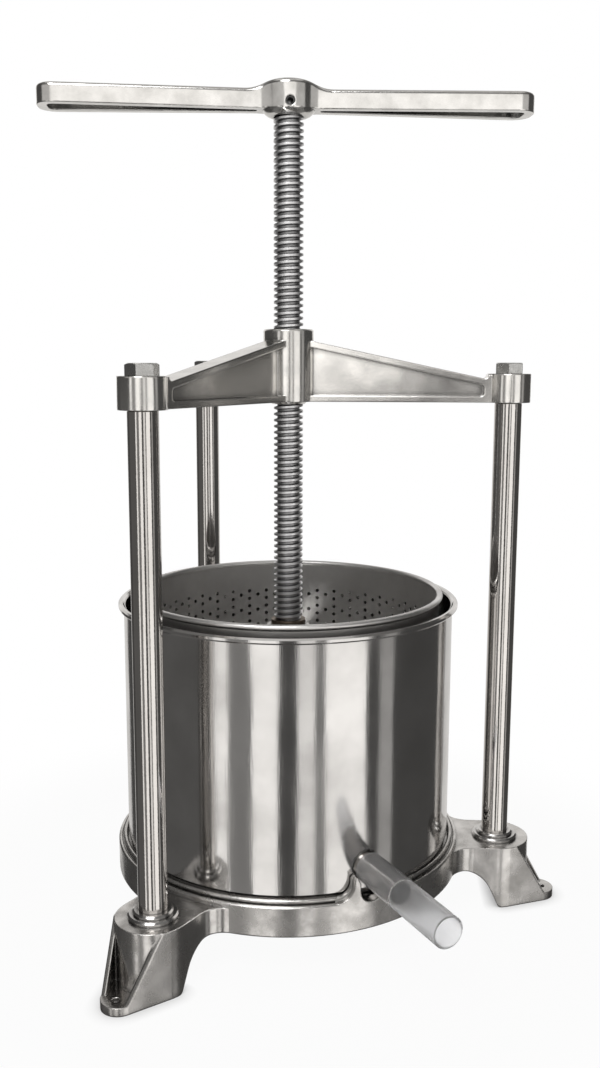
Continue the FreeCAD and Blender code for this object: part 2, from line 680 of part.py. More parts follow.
# Handle: a crowned hub with a long tapering loop on each side
def handle():
    body = new_body("handle")
    lean = "atan(grip_spread)"
    tip_x = "(handle_half - grip_end_round)"
    tip_y = f"(grip_half + grip_spread * {tip_x} - grip_end_round / cos({lean}))"
    tangent = (f"({tip_x} - grip_end_round * sin({lean}))", f"({tip_y} + grip_end_round * cos({lean}))")
    plan = new_sketch(body, "grip_plan", "XY_Plane", "handle_bottom")
    outline(
        plan,
        [
            ("0", "-grip_half"), (tangent[0], f"-{tangent[1]}"), ("handle_half", f"-{tip_y}"),
            ("handle_half", tip_y), tangent, ("0", "grip_half"),
            (f"-{tangent[0]}", tangent[1]), ("-handle_half", tip_y),
            ("-handle_half", f"-{tip_y}"), (f"-{tangent[0]}", f"-{tangent[1]}"),
        ],
        {
            1: ((tip_x, f"-{tip_y}"), True),
            3: ((tip_x, tip_y), True),
            6: ((f"-{tip_x}", tip_y), True),
            8: ((f"-{tip_x}", f"-{tip_y}"), True),
        },
    )
    feature(body, "Pad", "grips", plan, Length="handle_height + cast_extra")

    root = new_sketch(body, "grip_root_plan", "XY_Plane", "handle_bottom")
    root_y = "(grip_half + grip_spread * grip_root)"
    outline(
        root,
        [
            ("0", "-grip_half"), ("grip_root", f"-{root_y}"), ("grip_root", root_y),
            ("0", "grip_half"), ("-grip_root", root_y), ("-grip_root", f"-{root_y}"),
        ],
    )
    hub_top = "(handle_hub_bottom + handle_hub_height)"
    feature(body, "Pad", "grip_roots", root, Length=f"{hub_top} - handle_bottom + cast_extra")
    disc = new_sketch(body, "handle_hub_plan", "XY_Plane", "handle_hub_bottom - cast_extra")
    circle(disc, "handle_hub_radius")
    hub = feature(body, "Pad", "handle_hub", disc, Length="handle_hub_height + cast_extra * 2")
    dress(
        body, "Fillet", "root_blends", hub,
        lambda edge: upright(edge) and near(off_axis(edge), value("handle_hub_radius")), "handle_blend",
    )

    crown_middle = turn_hub(body, hub_top)
    crown_rings = ("crown_flat", crown_middle, "crown_reach")
    around(body, "slots", [slot(body, lean, tip_x, tip_y)], copies=2)
    slots = body.Tip
    dress(
        body, "Fillet", "grip_edges", slots,
        lambda edge: middle(edge).z > value("handle_bottom + handle_height") - 0.1
        and not any(near(off_axis(edge), value(ring)) for ring in crown_rings),
        "grip_edge",
    )
    bore = new_sketch(body, "shank_bore_plan", "XY_Plane", "handle_hub_bottom - cast_extra")
    circle(bore, "shank_radius + shank_fit")
    shank = feature(body, "Pocket", "shank_bore", bore, Length="handle_hub_height * 2")
    shank.Reversed = True
    body.Tip = pin_bore(body)
    return face_handle(body)


def turn_hub(body, hub_top):
    """Turn the crown, which sweeps down to the grips in a double curve, and the bowl under the hub.
    Gives back the radius at which the crown's curve changes over."""
    grip_top = "(handle_bottom + handle_height)"
    drop = f"({hub_top} - {grip_top})"
    run = "(crown_reach - crown_flat)"
    sweep = f"(({run} ^ 2 + {drop} ^ 2) / (4 * {drop}))"
    crown_middle = "((crown_flat + crown_reach) / 2)"
    outside = "handle_half + grip_end_round"
    above = f"{hub_top} + cast_extra * 2"
    crown = new_sketch(body, "crown_section", "XZ_Plane")
    outline(
        crown,
        [
            ("0", hub_top), ("crown_flat", hub_top), (crown_middle, f"{hub_top} - {drop} / 2"),
            ("crown_reach", grip_top), (outside, grip_top), (outside, above), ("0", above),
        ],
        {
            1: (("crown_flat", f"{hub_top} - {sweep}"), False),
            2: (("crown_reach", f"{grip_top} + {sweep}"), True),
        },
    )
    turned(body, "Groove", "crown", crown)

    rise = "(hub_drop - hub_wall)"
    bowl_round = f"(((handle_hub_radius - hub_foot) ^ 2 + {rise} ^ 2) / (2 * {rise}))"
    clear = "handle_hub_radius + cast_extra"
    below = "handle_hub_bottom - cast_extra * 2"
    bowl = new_sketch(body, "bowl_section", "XZ_Plane")
    outline(
        bowl,
        [
            ("0", "handle_hub_bottom"), ("0", below), (clear, below), (clear, "handle_bottom - hub_wall"),
            ("handle_hub_radius", "handle_bottom - hub_wall"), ("hub_foot", "handle_hub_bottom"),
        ],
        {4: (("hub_foot", f"handle_hub_bottom + {bowl_round}"), False)},
    )
    turned(body, "Groove", "bowl", bowl)
    return crown_middle


def slot(body, lean, tip_x, tip_y):
    """The long opening inside one grip, an even wall away from its outline."""
    root_round = f"(((grip_half + grip_spread * slot_root) * cos({lean}) - grip_bar) / (1 - sin({lean})))"
    root_x = f"(slot_root + {root_round})"
    end_round = "(grip_end_round - grip_bar)"
    root = (f"({root_x} - {root_round} * sin({lean}))", f"({root_round} * cos({lean}))")
    tangent = (f"({tip_x} - {end_round} * sin({lean}))", f"({tip_y} + {end_round} * cos({lean}))")
    end = f"({tip_x} + {end_round})"
    plan = new_sketch(body, "slot_plan", "XY_Plane", "handle_bottom - 1")
    outline(
        plan,
        [
            root, (root[0], f"-{root[1]}"), (tangent[0], f"-{tangent[1]}"),
            (end, f"-{tip_y}"), (end, tip_y), tangent,
        ],
        {
            0: ((root_x, "0"), True),
            2: ((tip_x, f"-{tip_y}"), True),
            4: ((tip_x, tip_y), True),
        },
    )
    opening = feature(body, "Pocket", "slot", plan, Length="handle_hub_height * 2")
    opening.Reversed = True
    return opening


def cross_pin():
    """A hollow spring pin that ends just inside the hub's surface."""
    body = new_body("cross_pin")
    section = new_sketch(body, "pin_section", "XZ_Plane")
    half = "(handle_hub_radius - pin_recess)"
    outline(
        section,
        [("pin_bore", f"-{half}"), ("pin_radius", f"-{half}"), ("pin_radius", half), ("pin_bore", half)],
    )
    turned(body, "Revolution", "pin_wall", section)
    turn = FreeCAD.Rotation(FreeCAD.Vector(0, 0, 1), value("handle_angle"))
    lie = FreeCAD.Rotation(FreeCAD.Vector(1, 0, 0), 90)
    body.Placement = FreeCAD.Placement(FreeCAD.Vector(0, 0, value("pin_height")), turn.multiply(lie))
    return raise_to(body, "pin_height")


# Pressure plate: a ribbed disc with a deep hub that the screw turns in
def press_plate():
    body = new_body("press_plate")
    bore = "(journal_radius + journal_fit)"
    face = "(plate_bottom + plate_thick)"
    rim_top = f"({face} + plate_rim)"
    rim_inner = "(plate_radius - plate_rim_wall)"
    hub_top = "(plate_bottom + plate_hub_height)"
    recess_top = "(plate_bottom + recess_depth)"
    section = new_sketch(body, "plate_section", "XZ_Plane")
    outline(
        section,
        [
            (bore, recess_top), ("recess_radius", recess_top), ("recess_radius", "plate_bottom"),
            ("plate_radius - edge_chamfer", "plate_bottom"),
            ("plate_radius", "plate_bottom + edge_chamfer"), ("plate_radius", rim_top),
            (rim_inner, rim_top), (rim_inner, face), ("plate_hub_radius", face),
            ("plate_hub_radius", f"{hub_top} - edge_chamfer"),
            ("plate_hub_radius - edge_chamfer", hub_top), (bore, hub_top),
        ],
    )
    turned(body, "Revolution", "plate_disc", section)
    side = new_sketch(body, "plate_rib_side", "XZ_Plane")
    rib_start = "((plate_hub_radius + recess_radius) / 2)"
    rib_end = "(plate_radius - plate_rim_wall / 2)"
    outline(
        side,
        [
            (rib_start, f"{face} - plate_rim / 2"), (rib_end, f"{face} - plate_rim / 2"),
            (rib_end, f"{face} + plate_rim / 2"), (rib_start, "plate_bottom + plate_rib_rise"),
        ],
    )
    rib = feature(body, "Pad", "plate_rib", side, Length="plate_rib")
    rib.Midplane = True
    around(body, "plate_ribs", [rib], copies=6)
    return body


def washer(name, outer, inner, thick, height):
    """A flat ring on the press's own axis."""
    disc = primitive("Cylinder", name + "_disc", Radius=outer, Height=thick)
    bore = primitive("Cylinder", name + "_bore", Radius=inner, Height=thick)
    return raise_to(cut(name, disc, bore), height)


def plate_retaining_bolt():
    bolt = hex_bolt(
        "plate_retaining_bolt", "retainer_flats", "retainer_head", "retainer_shank",
        "retainer_grip + retainer_thick",
    )
    bolt.Placement.Rotation = FreeCAD.Rotation(FreeCAD.Vector(1, 0, 0), 180)
    return raise_to(bolt, "plate_bottom + recess_depth - end_play - retainer_thick")


# Bucket and basket: drawn sheet shells with rolled rims
def eight_sided(half, x, y):
    """The corners of an eight-sided section, whose flats lie half its size from its middle."""
    corner = f"({half} / cos(22.5 deg))"
    turns = [45 * side + 22.5 for side in range(8)]
    return [(f"{x} + {corner} * cos({turn} deg)", f"{y} + {corner} * sin({turn} deg)") for turn in turns]


def shell(name, section_corners, radius, reach, bead, rim_height):
    body = new_body(name)
    section = new_sketch(body, name + "_section", "XZ_Plane")
    outline(section, section_corners)
    turned(body, "Revolution", name + "_wall", section)
    roll = new_sketch(body, name + "_rim_section", "XZ_Plane")
    outline(roll, eight_sided(bead, f"({radius} + {reach})", rim_height))
    body.Tip = turned(body, "Revolution", name + "_rim", roll)
    return body


def bucket():
    inner = "(bucket_radius - bucket_wall)"
    turn = "(bucket_radius - bucket_corner)"
    bend = "(seat_height + bucket_corner)"
    outer_cut = "(bucket_corner * (1 - cos(45 deg)))"
    inner_cut = "((bucket_corner - bucket_wall) * (1 - cos(45 deg)))"
    body = shell(
        "bucket",
        [
            ("0", "seat_height"), (turn, "seat_height"),
            (f"bucket_radius - {outer_cut}", f"seat_height + {outer_cut}"), ("bucket_radius", bend),
            ("bucket_radius", "bucket_rim_height"), (inner, "bucket_rim_height"), (inner, bend),
            (f"{inner} - {inner_cut}", f"seat_height + bucket_wall + {inner_cut}"),
            (turn, "seat_height + bucket_wall"), ("0", "seat_height + bucket_wall"),
        ],
        "bucket_radius", "bucket_bead_reach", "bucket_bead", "bucket_rim_height",
    )
    place = new_sketch(body, "spout_hole_place", "XZ_Plane", "basket_radius")
    circle(place, "spout_radius", ("0", "spout_height"))
    hole = feature(body, "Pocket", "spout_hole", place, Length="spout_reach - basket_radius")
    hole.Reversed = True
    body.Tip = hole
    return body


def basket():
    inner = "(basket_radius - basket_wall)"
    foot = "(seat_height + bucket_wall)"
    floor = f"({foot} + basket_foot)"
    return shell(
        "basket",
        [
            ("0", floor), (inner, floor), (inner, foot), ("basket_radius", foot),
            ("basket_radius", "basket_rim_height"), (inner, "basket_rim_height"),
            (inner, f"{floor} + basket_wall"), ("0", f"{floor} + basket_wall"),
        ],
        "basket_radius", "basket_bead_reach", "basket_bead", "basket_rim_height",
    )


# Spout: a tube welded through the bucket wall, and the soft sleeve pushed onto it
def lie_along_spout(thing, reach):
    """Point a piece's own axis out along -Y at the height of the spout."""
    thing.Placement.Rotation = FreeCAD.Rotation(FreeCAD.Vector(1, 0, 0), 90)
    tie(thing, **{"Placement.Base.y": f"-({reach})", "Placement.Base.z": "spout_height"})
    return thing


def spout_tube():
    length = "spout_reach - basket_radius"
    wall_height = "spout_height * 2"
    tube = primitive("Cylinder", "tube_blank", Radius="spout_radius", Height=length)
    weld = primitive(
        "Cone", "weld_blank", Radius1="weld_radius", Radius2="spout_radius + weld_thin",
        Height="weld_end - weld_start",
    )
    bore = primitive("Cylinder", "tube_bore", Radius="spout_radius - spout_wall", Height=length)
    inner = primitive("Cylinder", "inner_wall", Radius="bucket_radius - bucket_wall", Height=wall_height)
    outer = primitive("Cylinder", "outer_wall", Radius="bucket_radius", Height=wall_height)
    lie_along_spout(tube, "basket_radius")
    lie_along_spout(bore, "basket_radius")
    lie_along_spout(weld, "weld_start")
    trimmed = [cut("tube_trimmed", tube, inner), cut("weld_trimmed", weld, outer)]
    return cut("spout_tube", join("tube_and_weld", trimmed), bore)


def spout_sleeve():
    """Soft hose: stretched over the tube, and drawn in a little beyond the tube's end."""
    body = new_body("spout_sleeve")
    wide = "(spout_radius + sleeve_fit)"
    free = f"({wide} - sleeve_draw)"
    draw_start = "(spout_reach + sleeve_draw_gap - sleeve_start)"
    draw_end = f"({draw_start} + sleeve_draw_run)"
    length = "(sleeve_end - sleeve_start)"
    section = new_sketch(body, "sleeve_section", "XZ_Plane")
    outline(
        section,
        [
            (wide, "0"), (f"{wide} + sleeve_wall", "0"), (f"{wide} + sleeve_wall", draw_start),
            (f"{free} + sleeve_wall", draw_end), (f"{free} + sleeve_wall", length),
            (free, length), (free, draw_end), (wide, draw_start),
        ],
    )
    turned(body, "Revolution", "sleeve_wall_turn", section)
    return lie_along_spout(body, "sleeve_start")


parts = [base_casting(), yoke(), screw(), handle(), cross_pin(), press_plate()]
for side, angle in (("back", BACK), ("left", LEFT), ("right", RIGHT)):
    parts += [column(side + "_column", angle), collar(side + "_collar", angle)]
    parts.append(top_bolt(side + "_bolt", angle))
journal_bore = "journal_radius + journal_fit"
parts.append(
    washer("thrust_ring", "thrust_radius", journal_bore, "thrust_thick", "plate_bottom + plate_hub_height")
)
parts.append(
    washer(
        "plate_retaining_washer", "retainer_radius", "retainer_shank + retainer_gap", "retainer_thick",
        "plate_bottom + recess_depth - end_play - retainer_thick",
    )
)
parts += [plate_retaining_bolt(), bucket(), basket(), spout_tube(), spout_sleeve()]
doc.recompute()

for thing in doc.Objects:
    if "Invalid" in thing.State or "Error" in thing.State:
        raise RuntimeError(f"{thing.Label} did not compute: {thing.State}")
for part in parts:
    if part.Shape.isNull() or not part.Shape.isValid():
        raise RuntimeError(f"{part.Label} has no valid shape")
    part.Shape.exportStep(f"parts/{part.Label}.step")
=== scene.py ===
import math

import bmesh
import bpy
from mathutils import Matrix, Vector


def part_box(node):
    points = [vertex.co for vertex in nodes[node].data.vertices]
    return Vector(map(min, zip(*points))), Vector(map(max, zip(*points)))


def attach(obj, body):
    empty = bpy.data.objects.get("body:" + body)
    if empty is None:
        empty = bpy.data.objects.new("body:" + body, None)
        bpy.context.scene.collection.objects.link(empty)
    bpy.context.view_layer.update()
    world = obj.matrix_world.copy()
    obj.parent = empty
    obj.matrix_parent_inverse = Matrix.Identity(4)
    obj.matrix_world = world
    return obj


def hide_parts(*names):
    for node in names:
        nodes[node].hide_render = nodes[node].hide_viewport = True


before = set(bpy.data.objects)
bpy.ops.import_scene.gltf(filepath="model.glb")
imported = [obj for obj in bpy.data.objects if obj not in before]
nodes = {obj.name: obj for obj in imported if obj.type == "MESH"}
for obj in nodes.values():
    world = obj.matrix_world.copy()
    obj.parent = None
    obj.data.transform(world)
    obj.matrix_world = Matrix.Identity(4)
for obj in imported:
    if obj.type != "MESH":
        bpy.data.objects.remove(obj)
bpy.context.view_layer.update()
MM = 0.001

# Camera, as fitted to the photograph
CAMERA_PLACE = (-0.3946, -0.8063, 0.4624)
CAMERA_TURN = math.radians(-26.7)
CAMERA_PITCH = math.radians(9.33)
CAMERA_ROLL = 0.0027
FOCAL_PIXELS = 1085.16
PICTURE_HEIGHT = 1068

# Edges that turn by more than this are shown sharp
SHARP_ANGLE = math.radians(35)

# Thread of the screw: its pitch, outer and inner radius, the widths of its crest and root, the part of
# a turn by which it is set round, its lower and upper end, the chamfer at the lower end, and the turns
# that start below that end
THREAD_PITCH = 5.0 * MM
THREAD_OUTER = 12.0 * MM
THREAD_INNER = 9.25 * MM
THREAD_CREST = 1.75 * MM
THREAD_ROOT = 1.55 * MM
THREAD_START = 0.4
THREAD_LOW = 242.6 * MM
THREAD_HIGH = 647.5 * MM
THREAD_CHAMFER = 2.0 * MM
SPARE_TURNS = 2

# Plain ends of the screw: the journal in the plate and the shank in the handle
JOURNAL_RADIUS = 8.0 * MM
JOURNAL_LOW = 200.7 * MM
SHANK_RADIUS = 10.0 * MM
SHANK_HIGH = 671.5 * MM

# Basket: its outer radius, its sheet, its floor's height over its foot, and its rolled rim
BASKET_RADIUS = 126.5 * MM
BASKET_WALL = 1.0 * MM
BASKET_FLOOR = 5.0 * MM
RIM_RADIUS = 126.9 * MM
RIM_BEAD = 2.6 * MM
RIM_STEPS = 16

# Holes of the basket: full columns of them, a column with every second hole between each two, and the
# parts in which the side of a hole's cell is drawn
COLUMNS_OF_HOLES = 48
HOLE_RADIUS = 1.7 * MM
ROW_PITCH = 7.4 * MM
TOP_ROW = 240.0 * MM
ROWS = 24
FIRST_COLUMN = math.radians(88.6)
CELL_PARTS = 3

# Sleeve on the spout: its bore over the tube and beyond it, its wall, and where it draws in, along -Y
SLEEVE_WIDE = 10.55 * MM
SLEEVE_FREE = 10.25 * MM
SLEEVE_WALL = 1.7 * MM
DRAW_START = 186.3 * MM
DRAW_RUN = 3.0 * MM


def set_camera():
    data = bpy.data.cameras.new("camera")
    data.lens = FOCAL_PIXELS / PICTURE_HEIGHT * data.sensor_width
    data.clip_start = 0.01
    data.clip_end = 50
    camera = bpy.data.objects.new("camera", data)
    bpy.context.collection.objects.link(camera)
    turn = Matrix.Rotation(CAMERA_TURN, 4, "Z")
    tilt = Matrix.Rotation(math.pi / 2 - CAMERA_PITCH, 4, "X")
    roll = Matrix.Rotation(CAMERA_ROLL, 4, "Z")
    camera.matrix_world = Matrix.Translation(CAMERA_PLACE) @ turn @ tilt @ roll
    bpy.context.scene.camera = camera


# Meshes
def new_object(name, points, faces):
    """An object of these points and faces, joined where points meet, and smooth but for sharp edges."""
    mesh = bpy.data.meshes.new(name)
    mesh.from_pydata(points, [], faces)
    work = bmesh.new()
    work.from_mesh(mesh)
    bmesh.ops.remove_doubles(work, verts=work.verts, dist=1e-6)
    bmesh.ops.dissolve_degenerate(work, edges=work.edges, dist=1e-7)
    bmesh.ops.recalc_face_normals(work, faces=work.faces)
    work.to_mesh(mesh)
    work.free()
    mesh.shade_smooth()
    mesh.set_sharp_from_angle(angle=SHARP_ANGLE)
    made = bpy.data.objects.new(name, mesh)
    bpy.context.collection.objects.link(made)
    return made


def swept_ring(profile, segments):
    """Points and faces of an open profile of (radius, height) turned about the Z axis."""
    points = []
    for step in range(segments):
        angle = 2 * math.pi * step / segments
        points += [(radius * math.cos(angle), radius * math.sin(angle), height) for radius, height in profile]
    count = len(profile)
    faces = []
    for step in range(segments):
        after = (step + 1) % segments
        for row in range(count - 1):
            here = step * count + row
            there = after * count + row
            faces.append((here, there, there + 1, here + 1))
    return points, faces


def thread_profile():
    """One pitch of the thread as (radius, height): root, flank, crest, flank."""
    flank = (THREAD_PITCH - THREAD_CREST - THREAD_ROOT) / 2
    return [
        (THREAD_INNER, 0.0),
        (THREAD_INNER, THREAD_ROOT),
        (THREAD_OUTER, THREAD_ROOT + flank),
        (THREAD_OUTER, THREAD_ROOT + flank + THREAD_CREST),
        (THREAD_INNER, THREAD_PITCH),
    ]


def threaded_screw(steps=40):
    """A right-hand helix whose ends are cut off flat, with the plain shank and journal beyond them."""
    profile = thread_profile()
    turns = math.ceil((THREAD_HIGH - THREAD_LOW) / THREAD_PITCH) + SPARE_TURNS
    points = []
    for step in range(turns * steps + 1):
        angle = 2 * math.pi * step / steps
        lift = THREAD_LOW + (step / steps + THREAD_START - SPARE_TURNS) * THREAD_PITCH
        for radius, height in profile:
            z = min(max(lift + height, THREAD_LOW), THREAD_HIGH)
            reach = min(radius, THREAD_OUTER - THREAD_CHAMFER + (z - THREAD_LOW))
            points.append((reach * math.cos(angle), reach * math.sin(angle), z))
    count = len(profile)
    faces = []
    for step in range(turns * steps):
        low = step * count
        for row in range(count - 1):
            faces.append((low + row, low + count + row, low + count + row + 1, low + row + 1))
    journal = [
        (0.0, JOURNAL_LOW), (JOURNAL_RADIUS, JOURNAL_LOW), (JOURNAL_RADIUS, THREAD_LOW),
        (THREAD_INNER, THREAD_LOW),
    ]
    shank = [
        (THREAD_INNER, THREAD_HIGH), (SHANK_RADIUS, THREAD_HIGH), (SHANK_RADIUS, SHANK_HIGH),
        (0.0, SHANK_HIGH),
    ]
    for outline in (journal, shank):
        more, sides = swept_ring(outline, steps)
        faces += [tuple(corner + len(points) for corner in side) for side in sides]
        points += more
    return new_object("threaded_screw", points, faces)


def perforated_basket():
    """The basket's sheet with a real hole in each cell, a plain band above and below, and a rolled rim."""
    low_box, high_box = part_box("basket")
    radius = BASKET_RADIUS - BASKET_WALL / 2
    bottom = low_box[2]
    rim = high_box[2] - RIM_BEAD
    points = []
    faces = []

    def spot(angle, height):
        points.append((radius * math.cos(angle), radius * math.sin(angle), height))
        return len(points) - 1

    def cell(angle, height, half_height, parts):
        """A sheet cell with a round hole: its edge is joined to the hole's edge by quads."""
        half = math.pi / COLUMNS_OF_HOLES / 2
        across = [(-half + 2 * half * k / CELL_PARTS, -half_height) for k in range(CELL_PARTS)]
        up = [(half, -half_height + 2 * half_height * k / parts) for k in range(parts)]
        edge = across + up + [(-a, -z) for a, z in across + up]
        start = math.atan2(-half_height, -half * radius)
        outer = [spot(angle + a, height + z) for a, z in edge]
        inner = []
        for number in range(len(edge)):
            around = start + 2 * math.pi * number / len(edge)
            inner.append(
                spot(angle + HOLE_RADIUS * math.cos(around) / radius, height + HOLE_RADIUS * math.sin(around))
            )
        for number in range(len(edge)):
            after = (number + 1) % len(edge)
            faces.append((outer[number], outer[after], inner[after], inner[number]))

    for column in range(COLUMNS_OF_HOLES):
        angle = FIRST_COLUMN + 2 * math.pi * column / COLUMNS_OF_HOLES
        for row in range(ROWS):
            cell(angle, TOP_ROW - row * ROW_PITCH, ROW_PITCH / 2, CELL_PARTS)
        for row in range(ROWS // 2):
            between = angle + math.pi / COLUMNS_OF_HOLES
            cell(between, TOP_ROW - (2 * row + 0.5) * ROW_PITCH, ROW_PITCH, 2 * CELL_PARTS)

    top_of_holes = TOP_ROW + ROW_PITCH / 2
    end_of_holes = TOP_ROW - (ROWS - 0.5) * ROW_PITCH
    sides = COLUMNS_OF_HOLES * 2 * CELL_PARTS
    for lower, upper in ((bottom, end_of_holes), (top_of_holes, rim)):
        for side in range(sides):
            start = FIRST_COLUMN - math.pi / COLUMNS_OF_HOLES / 2 + 2 * math.pi * side / sides
            finish = start + 2 * math.pi / sides
            faces.append((spot(start, lower), spot(finish, lower), spot(finish, upper), spot(start, upper)))
    basket = new_object("perforated_basket", points, faces)
    sheet = basket.modifiers.new("sheet", "SOLIDIFY")
    sheet.thickness = BASKET_WALL
    sheet.offset = 0
    crisp = basket.modifiers.new("crisp_edges", "EDGE_SPLIT")
    crisp.split_angle = SHARP_ANGLE

    roll = []
    for step in range(RIM_STEPS + 1):
        around = 2 * math.pi * step / RIM_STEPS
        roll.append((RIM_RADIUS + RIM_BEAD * math.cos(around), rim + RIM_BEAD * math.sin(around)))
    rolled = new_object("basket_rim", *swept_ring(roll, segments=192))
    floor = bottom + BASKET_FLOOR
    top = floor + BASKET_WALL
    floor_profile = [(0.0, floor), (radius, floor), (radius, top), (0.0, top)]
    base = new_object("basket_floor", *swept_ring(floor_profile, segments=96))
    return basket, rolled, base


def soft_sleeve(steps=8):
    """The hose on its tube: drawn in softly past the tube's end, with rounded lips."""
    low_box, high_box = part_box("spout_sleeve")
    start, end = -high_box[1], -low_box[1]
    height = (low_box[2] + high_box[2]) / 2
    lip = SLEEVE_WALL / 2
    run = [(SLEEVE_WIDE, start + lip)]
    for step in range(steps + 1):
        share = step / steps
        drawn = share * share * (3 - 2 * share)
        run.append((SLEEVE_WIDE + (SLEEVE_FREE - SLEEVE_WIDE) * drawn, DRAW_START + DRAW_RUN * share))
    run.append((SLEEVE_FREE, end - lip))
    section = [(bore + SLEEVE_WALL, along) for bore, along in run]
    for step in range(1, steps):
        around = math.pi * step / steps
        section.append((SLEEVE_FREE + lip + lip * math.cos(around), end - lip + lip * math.sin(around)))
    section += reversed(run)
    for step in range(1, steps):
        around = math.pi * (1 + step / steps)
        section.append((SLEEVE_WIDE + lip + lip * math.cos(around), start + lip + lip * math.sin(around)))
    section.append(section[0])
    points, faces = swept_ring(section, segments=96)
    laid = [(across, -along, height + up) for across, up, along in points]
    return new_object("soft_sleeve", laid, faces)


# Materials. Noise runs mostly between these two values, and the scales are in waves per metre
NOISE_LOW = 0.3
NOISE_HIGH = 0.7
GRAIN_SCALE = 900.0
GRAIN_DEPTH = 0.03 * MM
WAVE_SCALE = 28.0
EDGE_SAMPLES = 8
# The hose's milky end begins where the tube ends, along Y
CLING_END = -0.184
CLING_FADE = 0.006


def start_material(name):
    material = bpy.data.materials.new(name)
    material.use_nodes = True
    tree = material.node_tree
    shader = tree.nodes["Principled BSDF"]
    place = tree.nodes.new("ShaderNodeTexCoord")
    return material, tree, shader, place.outputs["Object"]


def stretched(tree, place, scale):
    mapping = tree.nodes.new("ShaderNodeMapping")
    mapping.inputs["Scale"].default_value = scale
    tree.links.new(place, mapping.inputs["Vector"])
    return mapping.outputs["Vector"]


def noise(tree, place, scale, detail):
    made = tree.nodes.new("ShaderNodeTexNoise")
    made.inputs["Scale"].default_value = scale
    made.inputs["Detail"].default_value = detail
    made.inputs["Roughness"].default_value = 0.5
    tree.links.new(place, made.inputs["Vector"])
    return made.outputs["Fac"]


def ramp(tree, factor, stops):
    made = tree.nodes.new("ShaderNodeValToRGB")
    for element, (position, colour) in zip(made.color_ramp.elements, stops):
        element.position = position
        element.color = (*colour, 1)
    tree.links.new(factor, made.inputs["Fac"])
    return made.outputs["Color"]


def spread(tree, factor, low, high):
    """A noise value stretched to run from low to high."""
    made = tree.nodes.new("ShaderNodeMapRange")
    made.inputs["From Min"].default_value = NOISE_LOW
    made.inputs["From Max"].default_value = NOISE_HIGH
    made.inputs["To Min"].default_value = low
    made.inputs["To Max"].default_value = high
    tree.links.new(factor, made.inputs["Value"])
    return made.outputs["Result"]


def bump(tree, height, distance, strength, before=None):
    made = tree.nodes.new("ShaderNodeBump")
    made.inputs["Distance"].default_value = distance
    made.inputs["Strength"].default_value = strength
    tree.links.new(height, made.inputs["Height"])
    if before:
        tree.links.new(before, made.inputs["Normal"])
    return made.outputs["Normal"]


def soft_edges(tree, radius):
    made = tree.nodes.new("ShaderNodeBevel")
    made.samples = EDGE_SAMPLES
    made.inputs["Radius"].default_value = radius
    return made.outputs["Normal"]


def shaded_in_hollows(tree, colour, reach, deepest):
    """A colour with painted shade: it darkens in corners and hollows, by ambient occlusion."""
    hollow = tree.nodes.new("ShaderNodeAmbientOcclusion")
    hollow.samples = EDGE_SAMPLES
    hollow.inputs["Distance"].default_value = reach
    shade = ramp(tree, hollow.outputs["AO"], [(0.4, (deepest, deepest, deepest)), (0.9, (1, 1, 1))])
    product = tree.nodes.new("ShaderNodeVectorMath")
    product.operation = "MULTIPLY"
    tree.links.new(colour, product.inputs[0])
    tree.links.new(shade, product.inputs[1])
    return product.outputs["Vector"]


def metal(
    name, dark, light, smoothest, roughest, blotch, grain=(1, 1, 1), wave=0.0, run=(1, 1, 1), edge=0.0,
    reach=0.0, deepest=0.3,
):
    """Bare metal: a tone and a polish that vary in blotches, a fine grain, and an uneven surface.

    grain and run stretch the grain and the unevenness, wave is how deep the unevenness is, edge is the
    rounding of sharp edges, and hollows up to reach wide get painted shade, darkening to the share deepest.
    """
    material, tree, shader, place = start_material(name)
    shader.inputs["Metallic"].default_value = 1.0
    patches = noise(tree, place, blotch, detail=4.0)
    fine = noise(tree, stretched(tree, place, grain), GRAIN_SCALE, detail=2.0)
    colour = ramp(tree, patches, [(NOISE_LOW, dark), (NOISE_HIGH, light)])
    # Painted shade in hollows, from ambient occlusion
    if reach:
        colour = shaded_in_hollows(tree, colour, reach, deepest)
    tree.links.new(colour, shader.inputs["Base Color"])
    tree.links.new(spread(tree, patches, roughest, smoothest), shader.inputs["Roughness"])
    normal = soft_edges(tree, edge) if edge else None
    normal = bump(tree, fine, GRAIN_DEPTH, 0.6, normal)
    if wave:
        uneven = noise(tree, stretched(tree, place, run), WAVE_SCALE, detail=1.0)
        normal = bump(tree, uneven, wave, 1.0, normal)
    tree.links.new(normal, shader.inputs["Normal"])
    return material


def cast_aluminium():
    """Polished sand casting, with the skin's dimples left in it, and painted shade in its hollows."""
    return metal(
        "cast_aluminium", dark=(0.42, 0.41, 0.395), light=(0.70, 0.685, 0.67), smoothest=0.17, roughest=0.32,
        blotch=55.0, wave=0.6 * MM, edge=1.6 * MM, reach=6 * MM, deepest=0.5,
    )


# Painted shade: the yoke's hollows and pockets up to 6 mm wide are darkened
def yoke_aluminium():
    return metal(
        "yoke_aluminium", dark=(0.67, 0.66, 0.64), light=(0.79, 0.775, 0.75), smoothest=0.13, roughest=0.21,
        blotch=55.0, wave=0.3 * MM, edge=1.5 * MM, reach=6 * MM, deepest=0.4,
    )


# Painted shade: hollows up to 30 mm wide darken the handle and press plate nearly to black
def handle_aluminium():
    return metal(
        "handle_aluminium", dark=(0.60, 0.59, 0.57), light=(0.80, 0.79, 0.77), smoothest=0.12, roughest=0.22,
        blotch=60.0, wave=0.3 * MM, edge=1.5 * MM, reach=30 * MM, deepest=0.05,
    )


